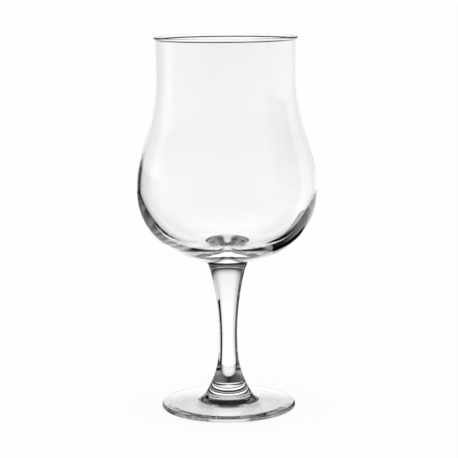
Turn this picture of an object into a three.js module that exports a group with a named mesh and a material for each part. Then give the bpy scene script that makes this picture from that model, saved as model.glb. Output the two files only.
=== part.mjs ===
// A stemmed balloon glass of clear glass: a blown bowl with a beaded rim, a pressed stem flared at both
// ends and a pressed foot with a boss at its centre. The pieces are hot-welded to each other at two flat
// rings of the same radius. Millimetres, +Z up, origin at the middle of the ring that the foot rests on.
import * as THREE from 'three';

// Driving dimensions: foot
const FOOT_RADIUS = 35.1;            // outside of the rounded edge
const FOOT_EDGE_THICKNESS = 2.4;     // full-round edge
const FOOT_RING_WIDTH = 5;           // flat ring that touches the table
const FOOT_HOLLOW_DEPTH = 1.3;       // rise of the underside inside the ring
const FOOT_CROWN_RISE = 1.5;         // rise of the top from the edge to the foot of the boss
const BOSS_FILLET_REACH = 4;         // from the weld out to where the boss runs into the crown

// Driving dimensions: welds and stem
const FOOT_WELD_HEIGHT = 6.9;        // face where the stem stands on the boss
const FOOT_WELD_RADIUS = 12.4;
const STEM_LENGTH = 71.5;            // from weld to weld
const STEM_WAIST_RADIUS = 4.75;
const STEM_WAIST_RISE = 31.9;        // from the lower weld up to the waist
const STEM_FOOT_SLOPE = 58;          // degrees from level where the stem leaves the boss
const BOWL_WELD_RADIUS = 12;
const STEM_TOP_SLOPE = 36;           // degrees from level where the stem reaches the bowl

// Driving dimensions: bowl, outside
const BOWL_BASE_SLOPE = 7;           // degrees from level where the underside leaves the weld
const BELLY_RADIUS = 46.7;
const BELLY_RISE = 37;               // from the bowl's weld up to the widest place
const NECK_RADIUS = 36.35;
const NECK_RISE = 59;                // from the belly up to the narrowest place
const RIM_RISE = 19.6;               // from the neck up to the top of the rim
const LIP_RADIUS = 36.45;            // outside of the wall just under the bead
const BEAD_PROUD = 0.7;              // the bead stands out of the wall by this

// Driving dimensions: bowl, wall
const LIP_WALL = 1.1;
const NECK_WALL = 1.15;
const BELLY_WALL = 1.7;
const BASE_THICKNESS = 7.5;          // glass between the weld and the middle of the hollow's bottom
const HOLLOW_RING_RADIUS = 13;       // lowest ring of the hollow's bottom
const HOLLOW_MIDDLE_RISE = 0.7;      // the middle of the bottom stands above that ring by this

// How far each curve keeps to its end's direction, as a share of the span that it covers
const UNDERSIDE_PULL = 0.52;
const BELLY_LOWER_PULL = 0.6;
const BELLY_UPPER_PULL = 0.36;
const NECK_PULL = 0.51;
const HOLLOW_BOTTOM_PULL = 0.7;
const HOLLOW_SIDE_PULL = 0.35;
const HOLLOW_RING_PULL = 0.5;
const HOLLOW_MIDDLE_PULL = 0.5;
const WAIST_PULL = 0.36;
const LOWER_FLARE_PULL = 0.43;
const UPPER_FLARE_PULL = 0.64;
const FOOT_HOLLOW_MIDDLE_PULL = 0.5;
const FOOT_HOLLOW_EDGE_PULL = 0.25;
const FOOT_HOLLOW_EDGE_RISE = 0.5;   // share of the hollow's depth gained along the pull at its edge

// Facets
const SEGMENTS = 48;                 // round the axis
const CURVE_STEPS = 12;              // along each long curve
const BEAD_STEPS = 8;
const EDGE_STEPS = 8;

// Heights that follow
const BOWL_WELD_HEIGHT = FOOT_WELD_HEIGHT + STEM_LENGTH;
const BELLY_HEIGHT = BOWL_WELD_HEIGHT + BELLY_RISE;
const NECK_HEIGHT = BELLY_HEIGHT + NECK_RISE;
const RIM_HEIGHT = NECK_HEIGHT + RIM_RISE;

const at = (radius, height) => new THREE.Vector2(radius, height);
const radians = THREE.MathUtils.degToRad;

// A point that lies a distance from another in a direction given in degrees from level
function along(point, degrees, distance) {
  return at(point.x + distance * Math.cos(radians(degrees)), point.y + distance * Math.sin(radians(degrees)));
}

function curve(start, startHandle, endHandle, end, steps = CURVE_STEPS) {
  return new THREE.CubicBezierCurve(start, startHandle, endHandle, end).getPoints(steps);
}

function arc(centre, radius, fromDegrees, toDegrees, steps) {
  const ring = new THREE.EllipseCurve(centre.x, centre.y, radius, radius,
    radians(fromDegrees), radians(toDegrees), toDegrees < fromDegrees);
  return ring.getPoints(steps);
}

// Joins stretches of outline, leaving out a point that repeats the one before it
function outline(...stretches) {
  const points = [];
  for (const point of stretches.flat()) {
    const last = points.at(-1);
    if (!last || last.distanceTo(point) > 1e-6) points.push(point);
  }
  return points;
}

function turned(name, points, material) {
  // LatheGeometry turns round Y, so the outline is stood up to turn round Z
  const geometry = new THREE.LatheGeometry(points, SEGMENTS);
  geometry.rotateX(Math.PI / 2);
  const mesh = new THREE.Mesh(geometry, material);
  mesh.name = name;
  return mesh;
}

// Foot: hollow underside, resting ring, round edge, gently crowned top and the fillet up to the boss
function footOutline() {
  const edgeRadius = FOOT_EDGE_THICKNESS / 2;
  const edgeCentre = at(FOOT_RADIUS - edgeRadius, edgeRadius);
  const ringInside = at(edgeCentre.x - FOOT_RING_WIDTH, 0);
  const hollowTop = at(0, FOOT_HOLLOW_DEPTH);
  const hollowEdge = at(ringInside.x * (1 - FOOT_HOLLOW_EDGE_PULL),
    FOOT_HOLLOW_DEPTH * FOOT_HOLLOW_EDGE_RISE);
  const crownTop = at(FOOT_WELD_RADIUS + BOSS_FILLET_REACH, FOOT_EDGE_THICKNESS + FOOT_CROWN_RISE);
  const weld = at(FOOT_WELD_RADIUS, FOOT_WELD_HEIGHT);
  const crownSlope = Math.atan2(FOOT_CROWN_RISE, edgeCentre.x - crownTop.x) * THREE.MathUtils.RAD2DEG;
  const filletPull = BOSS_FILLET_REACH / 2;
  return outline(
    curve(hollowTop, along(hollowTop, 0, FOOT_HOLLOW_MIDDLE_PULL * ringInside.x), hollowEdge,
      ringInside, CURVE_STEPS / 2),
    arc(edgeCentre, edgeRadius, -90, 90, EDGE_STEPS),
    curve(crownTop, along(crownTop, 180 - crownSlope, filletPull), along(weld, -STEM_FOOT_SLOPE, filletPull / 2),
      weld, CURVE_STEPS / 2),
    [at(0, FOOT_WELD_HEIGHT)],
  );
}

// Stem: flares from its waist down to the boss and up to the bowl
function stemOutline() {
  const lower = at(FOOT_WELD_RADIUS, FOOT_WELD_HEIGHT);
  const waist = at(STEM_WAIST_RADIUS, FOOT_WELD_HEIGHT + STEM_WAIST_RISE);
  const upper = at(BOWL_WELD_RADIUS, BOWL_WELD_HEIGHT);
  const lowerSpan = waist.y - lower.y;
  const upperSpan = upper.y - waist.y;
  return outline(
    [at(0, lower.y)],
    curve(lower, along(lower, 180 - STEM_FOOT_SLOPE, LOWER_FLARE_PULL * lowerSpan),
      along(waist, -90, WAIST_PULL * lowerSpan), waist),
    curve(waist, along(waist, 90, WAIST_PULL * upperSpan),
      along(upper, 180 + STEM_TOP_SLOPE, UPPER_FLARE_PULL * (upper.x - waist.x)), upper),
    [at(0, upper.y)],
  );
}

// Bowl: welded base, belly, neck and beaded rim outside; the hollow follows it inside
function bowlOutline() {
  const weld = at(BOWL_WELD_RADIUS, BOWL_WELD_HEIGHT);
  const belly = at(BELLY_RADIUS, BELLY_HEIGHT);
  const neck = at(NECK_RADIUS, NECK_HEIGHT);
  const beadRadius = (LIP_WALL + BEAD_PROUD) / 2;
  const beadCentre = at(LIP_RADIUS - LIP_WALL + beadRadius, RIM_HEIGHT - beadRadius);
  const beadStart = -Math.acos((LIP_RADIUS - beadCentre.x) / beadRadius) * THREE.MathUtils.RAD2DEG;
  const insideNeck = at(NECK_RADIUS - NECK_WALL, NECK_HEIGHT);
  const insideBelly = at(BELLY_RADIUS - BELLY_WALL, BELLY_HEIGHT);
  const hollowBottom = at(0, BOWL_WELD_HEIGHT + BASE_THICKNESS);
  const hollowRing = at(HOLLOW_RING_RADIUS, hollowBottom.y - HOLLOW_MIDDLE_RISE);
  const hollowRise = insideBelly.y - hollowRing.y;
  return outline(
    [at(0, weld.y)],
    curve(weld, along(weld, BOWL_BASE_SLOPE, UNDERSIDE_PULL * (belly.x - weld.x)),
      along(belly, -90, BELLY_LOWER_PULL * BELLY_RISE), belly),
    curve(belly, along(belly, 90, BELLY_UPPER_PULL * NECK_RISE), along(neck, -90, NECK_PULL * NECK_RISE), neck),
    arc(beadCentre, beadRadius, beadStart, 180, BEAD_STEPS),
    curve(insideNeck, along(insideNeck, -90, NECK_PULL * NECK_RISE),
      along(insideBelly, 90, BELLY_UPPER_PULL * NECK_RISE), insideBelly),
    curve(insideBelly, along(insideBelly, -90, HOLLOW_SIDE_PULL * hollowRise),
      along(hollowRing, 0, HOLLOW_BOTTOM_PULL * (insideBelly.x - hollowRing.x)), hollowRing),
    curve(hollowRing, along(hollowRing, 180, HOLLOW_RING_PULL * hollowRing.x),
      along(hollowBottom, 0, HOLLOW_MIDDLE_PULL * hollowRing.x), hollowBottom, CURVE_STEPS / 2),
  );
}

// Clear glass with the faint green-grey of its edges; the bowl is fire-polished, foot and stem are pressed
const clearGlass = (roughness) => new THREE.MeshStandardMaterial({
  color: 0xe9eeec, roughness, metalness: 0, transparent: true, opacity: 0.35,
});

const glass = new THREE.Group();
glass.add(turned('foot', footOutline(), clearGlass(0.06)));
glass.add(turned('stem', stemOutline(), clearGlass(0.05)));
glass.add(turned('bowl', bowlOutline(), clearGlass(0.03)));

export default glass;
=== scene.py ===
"""Looks of a clear stemmed balloon glass: bowl, stem and foot turned from outlines, on a white set."""
import math

import bpy
from mathutils import Matrix, Vector


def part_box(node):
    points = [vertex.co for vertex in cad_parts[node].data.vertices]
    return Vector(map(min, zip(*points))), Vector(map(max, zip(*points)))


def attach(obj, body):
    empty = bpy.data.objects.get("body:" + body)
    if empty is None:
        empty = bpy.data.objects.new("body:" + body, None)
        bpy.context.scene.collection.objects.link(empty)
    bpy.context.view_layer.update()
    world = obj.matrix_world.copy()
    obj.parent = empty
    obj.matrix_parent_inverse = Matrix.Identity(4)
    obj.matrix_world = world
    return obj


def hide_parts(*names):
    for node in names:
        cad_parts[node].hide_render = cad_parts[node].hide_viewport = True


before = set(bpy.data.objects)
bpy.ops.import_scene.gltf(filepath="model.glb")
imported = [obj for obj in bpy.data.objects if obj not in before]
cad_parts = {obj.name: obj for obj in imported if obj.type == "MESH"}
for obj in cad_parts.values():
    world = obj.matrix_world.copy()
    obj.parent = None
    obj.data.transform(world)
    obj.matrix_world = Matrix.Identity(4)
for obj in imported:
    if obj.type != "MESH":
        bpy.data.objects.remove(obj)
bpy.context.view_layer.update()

MM = 0.001

# Sizes that the frame gives, in metres
foot_low, foot_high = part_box("foot")
stem_low, stem_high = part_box("stem")
bowl_low, bowl_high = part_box("bowl")
FOOT_RADIUS = foot_high.x
FOOT_WELD_HEIGHT = stem_low.z
FOOT_WELD_RADIUS = stem_high.x
BOWL_WELD_HEIGHT = bowl_low.z
BELLY_RADIUS = bowl_high.x
RIM_HEIGHT = bowl_high.z

# Foot
FOOT_EDGE_THICKNESS = 2.4 * MM
FOOT_RING_WIDTH = 5 * MM
FOOT_HOLLOW_DEPTH = 0.95 * MM
FOOT_CROWN_RISE = 1.5 * MM
BOSS_FILLET_REACH = 4 * MM

# Stem
STEM_WAIST_RADIUS = 4.75 * MM
STEM_WAIST_RISE = 31.9 * MM
STEM_FOOT_SLOPE = 58
BOWL_WELD_RADIUS = 12 * MM
STEM_TOP_SLOPE = 36

# Bowl, outside and wall
BOWL_BASE_SLOPE = 7
BELLY_RISE = 37 * MM
NECK_RADIUS = 36.35 * MM
NECK_RISE = 59 * MM
LIP_RADIUS = 36.45 * MM
BEAD_PROUD = 0.7 * MM
LIP_WALL = 1.1 * MM
NECK_WALL = 1.15 * MM
BELLY_WALL = 1.7 * MM
BASE_THICKNESS = 7.5 * MM
HOLLOW_RING_RADIUS = 13 * MM
HOLLOW_MIDDLE_RISE = 0.7 * MM

# Share of its span for which each curve keeps to its end's direction
UNDERSIDE_PULL = 0.52
BELLY_LOWER_PULL = 0.6
BELLY_UPPER_PULL = 0.36
NECK_PULL = 0.51
HOLLOW_MIDDLE_PULL = 0.5
HOLLOW_RING_PULL = 0.5
HOLLOW_BOTTOM_PULL = 0.7
HOLLOW_SIDE_PULL = 0.35
WAIST_PULL = 0.36
LOWER_FLARE_PULL = 0.43
UPPER_FLARE_PULL = 0.64
FILLET_CROWN_PULL = 0.5
FILLET_WELD_PULL = 0.25
FOOT_HOLLOW_MIDDLE_PULL = 0.5
FOOT_HOLLOW_EDGE_PULL = 0.25
FOOT_HOLLOW_EDGE_RISE = 0.5  # share of the hollow's depth gained along the pull at its edge
ROUND_PULL = 0.5523  # makes a quarter circle of a cubic curve

BELLY_HEIGHT = BOWL_WELD_HEIGHT + BELLY_RISE
NECK_HEIGHT = BELLY_HEIGHT + NECK_RISE

# Fineness of the turned meshes
TURN_STEPS = 192
CURVE_STEPS = 32
MERGE_DISTANCE = 0.0005 * MM
WELD_REACH = 0.01 * MM  # faces this near a weld height belong to it


def at(radius, height):
    return Vector((radius, 0, height))


def along(point, degrees, distance):
    """A point at a distance from another, in a direction in degrees from level."""
    turn = math.radians(degrees)
    return point + distance * Vector((math.cos(turn), 0, math.sin(turn)))


def knot(point, before=None, after=None):
    """A point of an outline with the handles that lead into it and out of it."""
    return point, before or point, after or point


def foot_outline():
    edge = FOOT_EDGE_THICKNESS / 2
    edge_x = FOOT_RADIUS - edge
    ring_x = edge_x - FOOT_RING_WIDTH
    hollow_edge = at(ring_x * (1 - FOOT_HOLLOW_EDGE_PULL), FOOT_HOLLOW_DEPTH * FOOT_HOLLOW_EDGE_RISE)
    crown = at(FOOT_WELD_RADIUS + BOSS_FILLET_REACH, FOOT_EDGE_THICKNESS + FOOT_CROWN_RISE)
    crown_slope = math.degrees(math.atan2(FOOT_CROWN_RISE, edge_x - crown.x))
    weld = at(FOOT_WELD_RADIUS, FOOT_WELD_HEIGHT)
    pull = ROUND_PULL * edge
    return [
        knot(at(0, FOOT_HOLLOW_DEPTH), after=at(ring_x * FOOT_HOLLOW_MIDDLE_PULL, FOOT_HOLLOW_DEPTH)),
        knot(at(ring_x, 0), before=hollow_edge),
        knot(at(edge_x, 0), after=at(edge_x + pull, 0)),
        knot(at(FOOT_RADIUS, edge), at(FOOT_RADIUS, edge - pull), at(FOOT_RADIUS, edge + pull)),
        knot(at(edge_x, 2 * edge), before=at(edge_x + pull, 2 * edge)),
        knot(crown, after=along(crown, 180 - crown_slope, FILLET_CROWN_PULL * BOSS_FILLET_REACH)),
        knot(weld, before=along(weld, -STEM_FOOT_SLOPE, FILLET_WELD_PULL * BOSS_FILLET_REACH)),
        knot(at(0, weld.z)),
    ]


def stem_outline():
    lower = at(FOOT_WELD_RADIUS, FOOT_WELD_HEIGHT)
    waist = at(STEM_WAIST_RADIUS, FOOT_WELD_HEIGHT + STEM_WAIST_RISE)
    upper = at(BOWL_WELD_RADIUS, BOWL_WELD_HEIGHT)
    lower_span = waist.z - lower.z
    upper_span = upper.z - waist.z
    return [
        knot(at(0, lower.z)),
        knot(lower, after=along(lower, 180 - STEM_FOOT_SLOPE, LOWER_FLARE_PULL * lower_span)),
        knot(waist, along(waist, -90, WAIST_PULL * lower_span), along(waist, 90, WAIST_PULL * upper_span)),
        knot(upper, before=along(upper, 180 + STEM_TOP_SLOPE, UPPER_FLARE_PULL * (upper.x - waist.x))),
        knot(at(0, upper.z)),
    ]


def bowl_outline():
    weld = at(BOWL_WELD_RADIUS, BOWL_WELD_HEIGHT)
    belly = at(BELLY_RADIUS, BELLY_HEIGHT)
    neck = at(NECK_RADIUS, NECK_HEIGHT)
    bead = (LIP_WALL + BEAD_PROUD) / 2
    bead_x = LIP_RADIUS - LIP_WALL + bead
    bead_z = RIM_HEIGHT - bead
    bead_pull = ROUND_PULL * bead
    tuck = math.degrees(math.acos((LIP_RADIUS - bead_x) / bead))
    tuck_pull = bead * 4 / 3 * math.tan(math.radians(tuck) / 4)
    bead_foot = along(at(bead_x, bead_z), -tuck, bead)
    inside_neck = at(NECK_RADIUS - NECK_WALL, NECK_HEIGHT)
    inside_belly = at(BELLY_RADIUS - BELLY_WALL, BELLY_HEIGHT)
    bottom = at(0, BOWL_WELD_HEIGHT + BASE_THICKNESS)
    ring = at(HOLLOW_RING_RADIUS, bottom.z - HOLLOW_MIDDLE_RISE)
    hollow_rise = inside_belly.z - ring.z
    return [
        knot(at(0, weld.z)),
        knot(weld, after=along(weld, BOWL_BASE_SLOPE, UNDERSIDE_PULL * (belly.x - weld.x))),
        knot(belly, along(belly, -90, BELLY_LOWER_PULL * BELLY_RISE),
             along(belly, 90, BELLY_UPPER_PULL * NECK_RISE)),
        knot(neck, before=along(neck, -90, NECK_PULL * NECK_RISE)),
        knot(bead_foot, after=along(bead_foot, 90 - tuck, tuck_pull)),
        knot(at(bead_x + bead, bead_z), at(bead_x + bead, bead_z - tuck_pull),
             at(bead_x + bead, bead_z + bead_pull)),
        knot(at(bead_x, RIM_HEIGHT), at(bead_x + bead_pull, RIM_HEIGHT),
             at(bead_x - bead_pull, RIM_HEIGHT)),
        knot(at(bead_x - bead, bead_z), before=at(bead_x - bead, bead_z + bead_pull)),
        knot(inside_neck, after=along(inside_neck, -90, NECK_PULL * NECK_RISE)),
        knot(inside_belly, along(inside_belly, 90, BELLY_UPPER_PULL * NECK_RISE),
             along(inside_belly, -90, HOLLOW_SIDE_PULL * hollow_rise)),
        knot(ring, along(ring, 0, HOLLOW_BOTTOM_PULL * (inside_belly.x - ring.x)),
             along(ring, 180, HOLLOW_RING_PULL * ring.x)),
        knot(bottom, before=along(bottom, 0, HOLLOW_MIDDLE_PULL * ring.x)),
    ]


def turned(name, knots, materials, weld_heights):
    """Draws an outline as a curve, makes it a mesh and spins it round the axis.

    The flat faces at the weld heights get the second material.
    """
    bpy.ops.object.select_all(action="DESELECT")
    bpy.ops.curve.primitive_bezier_curve_add(location=(0, 0, 0))
    piece = bpy.context.object
    piece.name = piece.data.name = name
    spline = piece.data.splines[0]
    spline.bezier_points.add(len(knots) - len(spline.bezier_points))
    for point, (place, before, after) in zip(spline.bezier_points, knots):
        point.handle_left_type = point.handle_right_type = "FREE"
        point.co, point.handle_left, point.handle_right = place, before, after
    piece.data.dimensions = "3D"
    piece.data.resolution_u = CURVE_STEPS
    bpy.ops.object.convert(target="MESH")
    piece = bpy.context.object

    bpy.ops.object.mode_set(mode="EDIT")
    bpy.ops.mesh.select_all(action="SELECT")
    bpy.ops.mesh.remove_doubles(threshold=MERGE_DISTANCE)
    bpy.ops.mesh.spin(steps=TURN_STEPS, angle=2 * math.pi, center=(0, 0, 0), axis=(0, 0, 1))
    bpy.ops.mesh.select_all(action="SELECT")
    bpy.ops.mesh.remove_doubles(threshold=MERGE_DISTANCE)
    bpy.ops.mesh.normals_make_consistent(inside=False)
    bpy.ops.object.mode_set(mode="OBJECT")
    bpy.ops.object.shade_smooth()

    for material in materials:
        piece.data.materials.append(material)
    for face in piece.data.polygons:
        level = abs(face.normal.z) > 0.9999
        if level and any(abs(face.center.z - height) < WELD_REACH for height in weld_heights):
            face.material_index = 1
            face.use_smooth = False
    return piece


def linear(hex_colour):
    """An sRGB hex colour as the linear RGBA that shaders take."""
    def channel(value):
        share = value / 255
        return share / 12.92 if share <= 0.04045 else ((share + 0.055) / 1.055) ** 2.4
    return tuple(channel(int(hex_colour[i:i + 2], 16)) for i in (1, 3, 5)) + (1,)


def add_node(tree, kind, settings=None, **inputs):
    """Adds a node, sets its own settings, and fills or links its sockets.

    Sockets go by name, or by number with a line before it, such as _1.
    """
    node = tree.nodes.new(kind)
    for key, value in (settings or {}).items():
        setattr(node, key, value)
    for key, value in inputs.items():
        numbered = key[0] == "_" and key[1:].isdigit()
        socket = node.inputs[int(key[1:]) if numbered else key.replace("_", " ")]
        if isinstance(value, bpy.types.NodeSocket):
            tree.links.new(value, socket)
        else:
            socket.default_value = value
    return node


def new_material(name):
    material = bpy.data.materials.new(name)
    material.use_nodes = True
    material.node_tree.nodes.clear()
    return material, material.node_tree


GLASS_INDEX = 1.52
# Wear on the glass: size of its patches, and the noise levels at which it starts and is at its dullest
WEAR_GRAIN = 4 * MM
WEAR_FROM = 0.4
WEAR_FULL = 0.8


def soda_lime_glass(name, wave_length, wave_height, dullest):
    """Clear glass: waves left by forming stir the reflections, and wear dulls it a little in places."""
    material, tree = new_material(name)
    place = add_node(tree, "ShaderNodeTexCoord").outputs["Object"]
    waves = add_node(tree, "ShaderNodeTexNoise", Vector=place, Scale=1 / wave_length, Detail=1)
    surface = add_node(tree, "ShaderNodeBump", Height=waves.outputs[0], Strength=1, Distance=wave_height)
    wear = add_node(tree, "ShaderNodeTexNoise", Vector=place, Scale=1 / WEAR_GRAIN, Detail=4)
    dulling = add_node(tree, "ShaderNodeMapRange", _0=wear.outputs[0],
                       _1=WEAR_FROM, _2=WEAR_FULL, _3=0, _4=dullest)
    shader = add_node(tree, "ShaderNodeBsdfPrincipled", Base_Color=linear("#FDFDFD"), IOR=GLASS_INDEX,
                      Roughness=dulling.outputs[0], Normal=surface.outputs[0], Transmission_Weight=1)
    add_node(tree, "ShaderNodeOutputMaterial", Surface=shader.outputs["BSDF"])
    return material


def fused_weld():
    """The weld faces lie inside one body of glass, so light goes straight through them."""
    material, tree = new_material("fused_weld")
    clear = add_node(tree, "ShaderNodeBsdfTransparent", Color=(1, 1, 1, 1))
    add_node(tree, "ShaderNodeOutputMaterial", Surface=clear.outputs["BSDF"])
    return material


weld_glass = fused_weld()
foot_glass = soda_lime_glass("pressed_foot_glass", 9 * MM, 0.01 * MM, 0.04)
stem_glass = soda_lime_glass("pressed_stem_glass", 12 * MM, 0.004 * MM, 0.03)
bowl_glass = soda_lime_glass("blown_bowl_glass", 16 * MM, 0.006 * MM, 0.02)
both_welds = [FOOT_WELD_HEIGHT, BOWL_WELD_HEIGHT]
pieces = {
    "foot": turned("foot_pressed", foot_outline(), [foot_glass, weld_glass], [FOOT_WELD_HEIGHT]),
    "stem": turned("stem_pressed", stem_outline(), [stem_glass, weld_glass], both_welds),
    "bowl": turned("bowl_blown", bowl_outline(), [bowl_glass, weld_glass], [BOWL_WELD_HEIGHT]),
}
for node, piece in pieces.items():
    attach(piece, "root")
    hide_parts(node)

# Camera at the photograph's viewing angle
IMAGE = 458
FOCAL_PIXELS = 1646
SENSOR = 36
CAMERA_DISTANCE = 845.4 * MM
CAMERA_HEIGHT = 228.7 * MM
CAMERA_PITCH = 9.03
CAMERA_YAW = 0.063
CAMERA_ROLL = 0.5
camera_data = bpy.data.cameras.new("camera")
camera_data.sensor_width = SENSOR
camera_data.lens = SENSOR * FOCAL_PIXELS / IMAGE
camera = bpy.data.objects.new("camera", camera_data)
bpy.context.collection.objects.link(camera)
camera.matrix_world = (
    Matrix.Translation((0, -CAMERA_DISTANCE, CAMERA_HEIGHT))
    @ Matrix.Rotation(math.radians(-CAMERA_YAW), 4, "Z")
    @ Matrix.Rotation(math.radians(90 - CAMERA_PITCH), 4, "X")
    @ Matrix.Rotation(math.radians(-CAMERA_ROLL), 4, "Z")
)
bpy.context.scene.camera = camera

# Floor, in metres, and how much of what the camera sees of it glows
FLOOR_SIZE = 40
FLOOR_GLOW = 0.9


def white_floor():
    """Plain white ground: mostly a white glow to the camera, and matt enough to keep a faint shadow."""
    material, tree = new_material("white_floor")
    matt = add_node(tree, "ShaderNodeBsdfDiffuse", Color=linear("#F4F4F4"))
    glow = add_node(tree, "ShaderNodeEmission", Color=(1, 1, 1, 1), Strength=1)
    path = add_node(tree, "ShaderNodeLightPath")
    seen = path.outputs["Is Camera Ray"]
    share = add_node(tree, "ShaderNodeMath", {"operation": "MULTIPLY"}, _0=seen, _1=FLOOR_GLOW).outputs[0]
    both = add_node(tree, "ShaderNodeMixShader", _0=share, _1=matt.outputs[0], _2=glow.outputs[0])
    add_node(tree, "ShaderNodeOutputMaterial", Surface=both.outputs[0])
    return material


bpy.ops.object.select_all(action="DESELECT")
bpy.ops.mesh.primitive_plane_add(size=FLOOR_SIZE, location=(0, 0, 0))
floor = bpy.context.object
floor.name = "floor"
floor.data.materials.append(white_floor())
# The glass shows the light tent below it instead
floor.visible_transmission = floor.visible_glossy = False

world = bpy.data.worlds.new("white_studio")
bpy.context.scene.world = world
world.use_nodes = True
world.node_tree.nodes.clear()
tree = world.node_tree
sky = add_node(tree, "ShaderNodeBackground", Color=(1, 1, 1, 1), Strength=1)
add_node(tree, "ShaderNodeOutputWorld", Surface=sky.outputs[0])

# Light tent round the glass, in metres
TENT_RADIUS = 3
TENT_HEIGHT = 0.1

# Brightness round the tent, in degrees from straight behind the glass, left negative
TENT_LEVEL = [
    (-180, 0.2), (-146, 0.2), (-132, 0.3), (-110, 0.35), (-95, 0.45), (-76, 0.8), (-60, 0.6),
    (-44, 0.5), (-36, 0.6), (-28, 0.8), (-22, 0.97), (-16, 1.06), (16, 1.06), (22, 0.97),
    (28, 0.85), (34, 0.75), (40, 0.75), (46, 0.85), (55, 1.0), (68, 1.0), (76, 0.6),
    (104, 0.35), (132, 0.3), (146, 0.2), (180, 0.2),
]
# Brightness of the tent's lower part, which the glass shows in place of the floor; its dark sectors beside
# the glass are painted shadow on that floor
TENT_FLOOR = [
    (-180, 0.02), (-140, 0.08), (-110, 0.1), (-70, 0.05), (-42, 0.03), (-36, 0.3), (-30, 0.6),
    (-24, 0.9), (-15, 1.0), (15, 1.0), (20, 0.85), (26, 0.5), (32, 0.15), (38, 0.02),
    (70, 0.03), (110, 0.15), (140, 0.15), (180, 0.02),
]
# How far up the tent each of its parts reaches, in degrees from level
TENT_FLOOR_REACH = [(-42, 1), (-28, 0)]
TENT_TOP_REACH = [(6, 1), (9.5, 0.74), (12, 0.42), (14.5, 0.14), (18, 0.02)]
TENT_LIFT = [
    (-90, 1.0), (-50, 1.15), (-30, 1.25), (-22, 1.15), (-14, 1.04),
    (-6, 1.03), (0, 0.96), (6, 0.91),
]


def ramp(tree, stops, low, high, fac):
    """A colour ramp through grey levels, from stops in degrees."""
    node = add_node(tree, "ShaderNodeValToRGB", Fac=fac)
    elements = node.color_ramp.elements
    while len(elements) < len(stops):
        elements.new(0.5)
    for element, (degrees, level) in zip(elements, stops):
        element.position = (degrees - low) / (high - low)
        element.color = (level, level, level, 1)
    return node.outputs["Color"]


def light_tent():
    """White cloth lit from outside: bright behind the glass, dimmer at its sides and dark above it."""
    material, tree = new_material("light_tent")
    place = add_node(tree, "ShaderNodeTexCoord")
    along_axes = add_node(tree, "ShaderNodeSeparateXYZ", Vector=place.outputs["Object"])
    x, y, z = along_axes.outputs
    turn = add_node(tree, "ShaderNodeMath", {"operation": "ARCTAN2"}, _0=x, _1=y)
    turn_share = add_node(tree, "ShaderNodeMapRange", _0=turn.outputs[0], _1=-math.pi, _2=math.pi)
    reach = add_node(tree, "ShaderNodeVectorMath", {"operation": "LENGTH"}, _0=place.outputs["Object"])
    height = add_node(tree, "ShaderNodeMath", {"operation": "DIVIDE"}, _0=z, _1=reach.outputs["Value"])
    lift = add_node(tree, "ShaderNodeMath", {"operation": "ARCSINE"}, _0=height.outputs[0])
    quarter = math.pi / 2
    lift_share = add_node(tree, "ShaderNodeMapRange", _0=lift.outputs[0], _1=-quarter, _2=quarter).outputs[0]
    level = ramp(tree, TENT_LEVEL, -180, 180, turn_share.outputs[0])
    # The tent's lower part, with painted floor shadow in its dark sectors
    ground = ramp(tree, TENT_FLOOR, -180, 180, turn_share.outputs[0])
    ground_share = ramp(tree, TENT_FLOOR_REACH, -90, 90, lift_share)
    top_share = ramp(tree, TENT_TOP_REACH, -90, 90, lift_share)
    up_it = ramp(tree, TENT_LIFT, -90, 90, lift_share)
    low = add_node(tree, "ShaderNodeMix", {"data_type": "RGBA"}, _0=ground_share, _6=level, _7=ground)
    times = {"data_type": "RGBA", "blend_type": "MULTIPLY"}
    both = add_node(tree, "ShaderNodeMix", times, _0=1.0, _6=low.outputs[2], _7=up_it)
    whole = add_node(tree, "ShaderNodeMix", times, _0=1.0, _6=both.outputs[2], _7=top_share)
    glow = add_node(tree, "ShaderNodeEmission", Color=whole.outputs[2], Strength=1)
    add_node(tree, "ShaderNodeOutputMaterial", Surface=glow.outputs[0])
    return material


bpy.ops.object.select_all(action="DESELECT")
bpy.ops.mesh.primitive_uv_sphere_add(segments=64, ring_count=32, radius=TENT_RADIUS,
                                     location=(0, 0, TENT_HEIGHT))
tent = bpy.context.object
tent.name = "light_tent"
tent.data.materials.append(light_tent())
tent.visible_camera = tent.visible_diffuse = tent.visible_shadow = False
# The tent and its flags turn with the camera, so every view has the same light
turn_with = tent.constraints.new("COPY_ROTATION")
turn_with.target = camera
turn_with.use_x = turn_with.use_y = False

# Black flags beside the glass: the tent's degrees from which and to which each stands, and its top
FLAG_DISTANCE = 125 * MM
FLAGS = {"black_flag_left": (-38, -100, 128 * MM), "black_flag_right": (30, 48, 55 * MM)}


def black_felt():
    """Matt black cloth, which the glass shows as its dark edges."""
    material, tree = new_material("black_felt")
    matt = add_node(tree, "ShaderNodeBsdfDiffuse", Color=linear("#060606"))
    add_node(tree, "ShaderNodeOutputMaterial", Surface=matt.outputs[0])
    return material


felt = black_felt()
for name, (*sector, top) in FLAGS.items():
    turns = [math.radians(degrees) for degrees in sector]
    near, far = (FLAG_DISTANCE * Vector((math.sin(turn), math.cos(turn), 0)) for turn in turns)
    across = far - near
    bpy.ops.object.select_all(action="DESELECT")
    bpy.ops.mesh.primitive_plane_add(size=1, location=(near + far) / 2,
                                     rotation=(math.pi / 2, 0, math.atan2(across.y, across.x)))
    flag = bpy.context.object
    flag.name = name
    flag.scale = (across.length, 2 * top, 1)
    flag.data.materials.append(felt)
    flag.visible_camera = flag.visible_diffuse = flag.visible_shadow = False
    flag.parent = tent
    flag.matrix_parent_inverse = Matrix.Translation(-tent.location)

scene = bpy.context.scene
scene.view_settings.view_transform = "Standard"
# Light crosses many glass faces in the solid base and stem before it leaves
scene.cycles.max_bounces = scene.cycles.glossy_bounces = scene.cycles.transmission_bounces = 32
